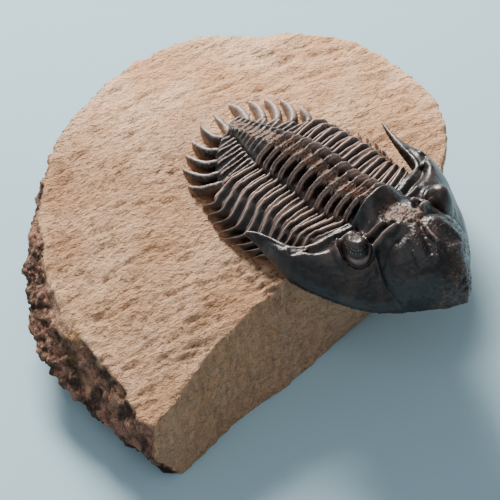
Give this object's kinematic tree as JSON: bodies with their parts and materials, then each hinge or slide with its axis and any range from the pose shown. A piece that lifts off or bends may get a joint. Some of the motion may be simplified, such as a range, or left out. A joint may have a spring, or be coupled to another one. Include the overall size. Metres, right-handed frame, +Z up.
{
  "type": "trilobite fossil",
  "caption": "Prepared spiny trilobite with tall eyes, genal spines and a spiny tail, standing free on its block of matrix stone.",
  "frame": {"origin": "on the table, under the middle of the whole piece's bounding box", "axes": "+Z up; the trilobite's head points along -Y and its tail along +Y; +X is to the right as it is seen from above with the head towards the viewer"},
  "size_m": [0.1032, 0.0997, 0.0414],
  "materials": {
    "sandy_stone": "rough, dry, pale tan stone scored by fine air tools, with a dark brown weathered band on its left side",
    "dark_shell": "near-black brown fossil shell, softly glossy, worn reddish brown and grey along its crest"
  },
  "bodies": {
    "root": {"matrix_stone": "sandy_stone", "cephalon": "dark_shell", "thoracic_segment_01": "dark_shell", "thoracic_segment_02": "dark_shell", "thoracic_segment_03": "dark_shell", "thoracic_segment_04": "dark_shell", "thoracic_segment_05": "dark_shell", "thoracic_segment_06": "dark_shell", "thoracic_segment_07": "dark_shell", "thoracic_segment_08": "dark_shell", "thoracic_segment_09": "dark_shell", "thoracic_segment_10": "dark_shell", "thoracic_segment_11": "dark_shell", "pygidium": "dark_shell"}
  },
  "joints": []
}
